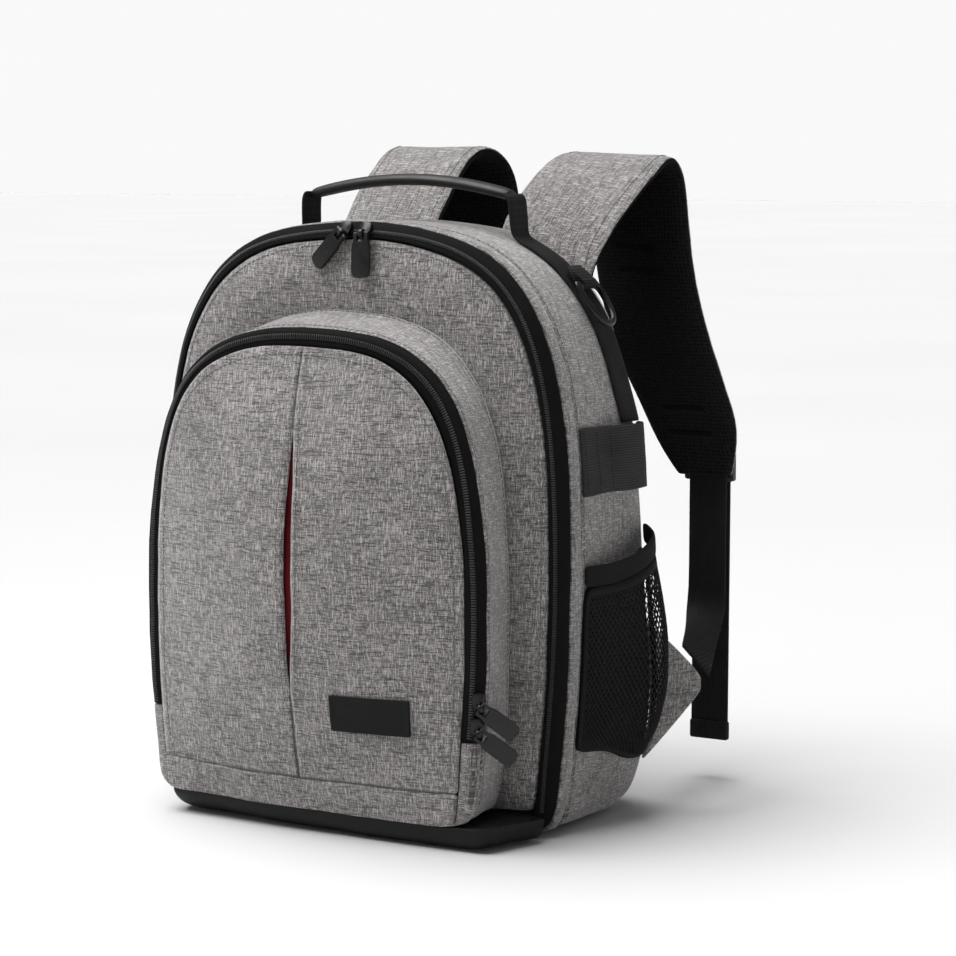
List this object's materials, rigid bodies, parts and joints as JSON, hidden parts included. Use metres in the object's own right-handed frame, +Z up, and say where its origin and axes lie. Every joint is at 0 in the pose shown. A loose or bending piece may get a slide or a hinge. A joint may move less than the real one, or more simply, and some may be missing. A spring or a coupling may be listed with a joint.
{
  "type": "camera backpack",
  "caption": "Upright padded camera backpack with front pocket, side net pockets, carrying handle and curved shoulder straps.",
  "frame": {"origin": "middle of the flat underside of the body", "axes": "+X to the right as seen from the front, +Y to the back panel, +Z up"},
  "size_m": [0.3592, 0.3188, 0.4367],
  "materials": {
    "grey_cloth": "matt melange woven cloth",
    "zip_tape": "matt woven tape with a coil",
    "air_mesh": "matt spacer mesh",
    "net": "open knitted net",
    "webbing": "matt woven webbing",
    "elastic": "matt ribbed elastic",
    "base_cloth": "smooth coated cloth",
    "red_cloth": "matt smooth cloth",
    "grip_leather": "soft satin leather",
    "patch_rubber": "matt, bare",
    "dark_metal": "satin gunmetal",
    "lock_plastic": "matt"
  },
  "bodies": {
    "bag": {"gusset": "grey_cloth", "zip_border": "grey_cloth", "main_zip_tape": "zip_tape", "front_panel": "grey_cloth", "back_panel": "air_mesh", "pocket_gusset": "grey_cloth", "pocket_zip_tape": "zip_tape", "pocket_corner_right": "grey_cloth", "pocket_corner_left": "grey_cloth", "pocket_front": "grey_cloth", "pocket_hem_band": "grey_cloth", "pleat_lining": "red_cloth", "label_patch": "patch_rubber", "front_base": "base_cloth", "main_slider_right": "dark_metal", "main_slider_left": "dark_metal", "pocket_slider_upper": "dark_metal", "pocket_slider_lower": "dark_metal", "handle_grip": "grip_leather", "side_webbing_right": "webbing", "side_webbing_left": "webbing", "ring_tab": "webbing", "side_elastic_right": "elastic", "side_elastic_left": "elastic", "net_pocket_right": "net", "net_pocket_left": "net", "net_binding_right": "elastic", "net_binding_left": "elastic", "strap_cover_right": "grey_cloth", "strap_cover_left": "grey_cloth", "strap_padding_right": "air_mesh", "strap_padding_left": "air_mesh", "strap_lock_right": "lock_plastic", "strap_lock_left": "lock_plastic", "strap_anchor_right": "grey_cloth", "strap_anchor_left": "grey_cloth", "strap_webbing_right": "webbing", "strap_webbing_left": "webbing", "lock_keeper_right": "webbing", "lock_keeper_left": "webbing"},
    "main_pull_right": {"main_pull_right": "dark_metal"},
    "main_pull_left": {"main_pull_left": "dark_metal"},
    "pocket_pull_upper": {"pocket_pull_upper": "dark_metal"},
    "pocket_pull_lower": {"pocket_pull_lower": "dark_metal"},
    "ring": {"d_ring": "dark_metal"}
  },
  "joints": [
    {"name": "main_pull_right_hinge", "type": "hinge", "parent": "bag", "child": "main_pull_right", "pos_m": [0.01063, -0.0651, 0.3805], "axis": [-0.9943, -0.064, -0.085], "range_deg": [0, 110]},
    {"name": "main_pull_left_hinge", "type": "hinge", "parent": "bag", "child": "main_pull_left", "pos_m": [-0.00463, -0.0651, 0.38082], "axis": [-0.7071, 0.313, 0.6341], "range_deg": [0, 110]},
    {"name": "pocket_pull_upper_hinge", "type": "hinge", "parent": "bag", "child": "pocket_pull_upper", "pos_m": [0.13021, -0.11517, 0.093], "axis": [-0.4351, -0.4351, -0.7882], "range_deg": [0, 150]},
    {"name": "pocket_pull_lower_hinge", "type": "hinge", "parent": "bag", "child": "pocket_pull_lower", "pos_m": [0.12905, -0.11517, 0.077], "axis": [-0.4351, -0.4351, -0.7882], "range_deg": [0, 150]},
    {"name": "ring_hinge", "type": "hinge", "parent": "bag", "child": "ring", "pos_m": [0.12884, 0.01751, 0.34802], "axis": [0, -1, 0], "range_deg": [0, 150]}
  ]
}
